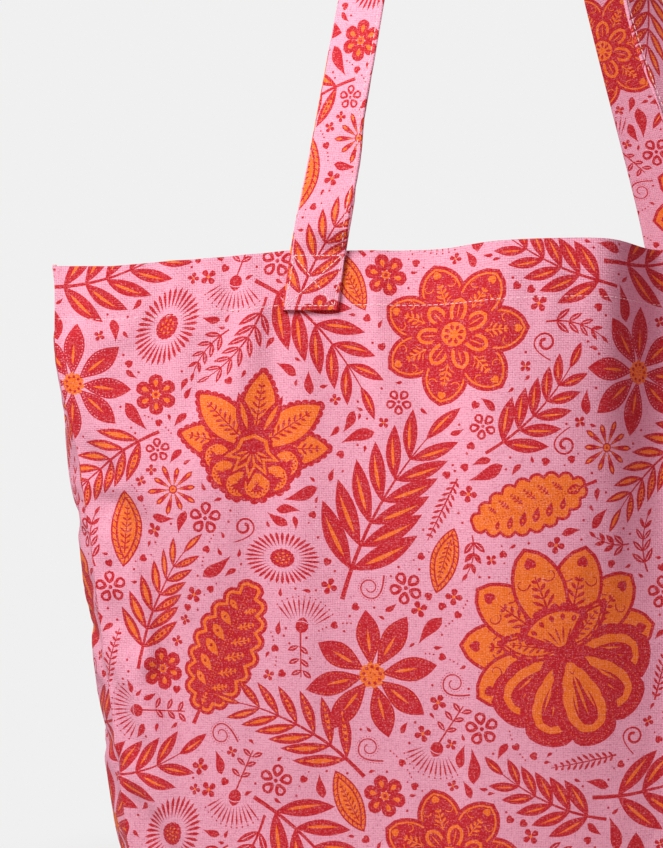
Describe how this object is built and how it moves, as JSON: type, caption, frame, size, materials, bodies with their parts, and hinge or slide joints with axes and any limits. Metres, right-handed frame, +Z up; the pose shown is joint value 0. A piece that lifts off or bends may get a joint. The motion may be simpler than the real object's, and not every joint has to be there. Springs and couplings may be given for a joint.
{
  "type": "foldable tote bag",
  "caption": "Open-topped gusseted tote bag in floral printed canvas with long shoulder straps; it folds flat along its side and base creases.",
  "frame": {"origin": "centre of the flat base, on the ground plane", "axes": "+Z up, +X to the bag's right seen from the front, -Y towards the viewer (front face)"},
  "size_m": [0.512, 0.1802, 0.7006],
  "materials": {
    "printed_canvas": "plain-weave cotton canvas, pink ground with a crimson and orange folk-floral print",
    "hem": "reverse of the printed canvas",
    "strap": "folded and topstitched strip of the printed canvas",
    "seam_allowance": "overlocked raw edges",
    "thread": "matt polyester sewing thread",
    "label": "blank woven tape"
  },
  "bodies": {
    "front": {"front_panel": "printed_canvas", "front_hem": "hem", "front_hem_stitching": "thread", "left_front_side_seam": "seam_allowance", "right_front_side_seam": "seam_allowance", "front_base_seam": "seam_allowance", "front_strap_left_end": "strap", "front_strap_right_end": "strap", "front_strap_left_box_stitching": "thread", "front_strap_right_box_stitching": "thread"},
    "back": {"back_panel": "printed_canvas", "back_hem": "hem", "back_hem_stitching": "thread", "left_back_side_seam": "seam_allowance", "right_back_side_seam": "seam_allowance", "back_base_seam": "seam_allowance", "back_strap_left_end": "strap", "back_strap_right_end": "strap", "back_strap_left_box_stitching": "thread", "back_strap_right_box_stitching": "thread", "inner_label": "label", "inner_label_stitching": "thread"},
    "base_front": {"base_front_half": "printed_canvas"},
    "base_back": {"base_back_half": "printed_canvas"},
    "front_strap": {"front_strap_loop": "strap", "front_strap_edge_stitching": "thread"},
    "back_strap": {"back_strap_loop": "strap", "back_strap_edge_stitching": "thread"},
    "left_gusset_front": {"left_gusset_front_half": "printed_canvas", "left_gusset_front_hem": "hem", "left_gusset_front_hem_stitching": "thread", "left_gusset_front_base_seam": "seam_allowance"},
    "left_gusset_back": {"left_gusset_back_half": "printed_canvas", "left_gusset_back_hem": "hem", "left_gusset_back_hem_stitching": "thread", "left_gusset_back_base_seam": "seam_allowance"},
    "right_gusset_front": {"right_gusset_front_half": "printed_canvas", "right_gusset_front_hem": "hem", "right_gusset_front_hem_stitching": "thread", "right_gusset_front_base_seam": "seam_allowance"},
    "right_gusset_back": {"right_gusset_back_half": "printed_canvas", "right_gusset_back_hem": "hem", "right_gusset_back_hem_stitching": "thread", "right_gusset_back_base_seam": "seam_allowance"}
  },
  "joints": [
    {"name": "fold_flat", "type": "hinge", "parent": "front", "child": "left_gusset_front", "pos_m": [-0.22832, -0.0573, 0.20034], "axis": [0.124, 0, -0.9923], "range_deg": [0, 90]},
    {"name": "left_gusset_crease", "type": "hinge", "parent": "left_gusset_front", "child": "left_gusset_back", "pos_m": [-0.23145, 0, 0.19994], "axis": [0.124, 0, -0.9923], "range_deg": [-180, 0]},
    {"name": "left_gusset_back_fold", "type": "hinge", "parent": "left_gusset_back", "child": "back", "pos_m": [-0.22832, 0.0573, 0.20034], "axis": [0.124, 0, -0.9923], "range_deg": [0, 90]},
    {"name": "right_gusset_front_fold", "type": "hinge", "parent": "front", "child": "right_gusset_front", "pos_m": [0.22832, -0.0573, 0.20034], "axis": [0.124, 0, 0.9923], "range_deg": [0, 90]},
    {"name": "right_gusset_crease", "type": "hinge", "parent": "right_gusset_front", "child": "right_gusset_back", "pos_m": [0.23145, 0, 0.19994], "axis": [0.124, 0, 0.9923], "range_deg": [-180, 0]},
    {"name": "base_front_fold", "type": "hinge", "parent": "front", "child": "base_front", "pos_m": [0, -0.0573, -0.0019], "axis": [-1, 0, 0], "range_deg": [0, 90]},
    {"name": "base_crease", "type": "hinge", "parent": "base_front", "child": "base_back", "pos_m": [0, 0, 0.00125], "axis": [-1, 0, 0], "range_deg": [-180, 0]},
    {"name": "front_strap_swing", "type": "hinge", "parent": "front", "child": "front_strap", "pos_m": [0, -0.0623, 0.4], "axis": [1, 0, 0], "range_deg": [0, 170]},
    {"name": "back_strap_swing", "type": "hinge", "parent": "back", "child": "back_strap", "pos_m": [0, 0.0623, 0.4], "axis": [-1, 0, 0], "range_deg": [0, 170]}
  ],
  "couplings": [
    {"joint": "left_gusset_crease", "follows": "fold_flat", "ratio": -2},
    {"joint": "left_gusset_back_fold", "follows": "fold_flat", "ratio": 1},
    {"joint": "right_gusset_front_fold", "follows": "fold_flat", "ratio": 1},
    {"joint": "right_gusset_crease", "follows": "fold_flat", "ratio": -2},
    {"joint": "base_front_fold", "follows": "fold_flat", "ratio": 1},
    {"joint": "base_crease", "follows": "fold_flat", "ratio": -2}
  ]
}
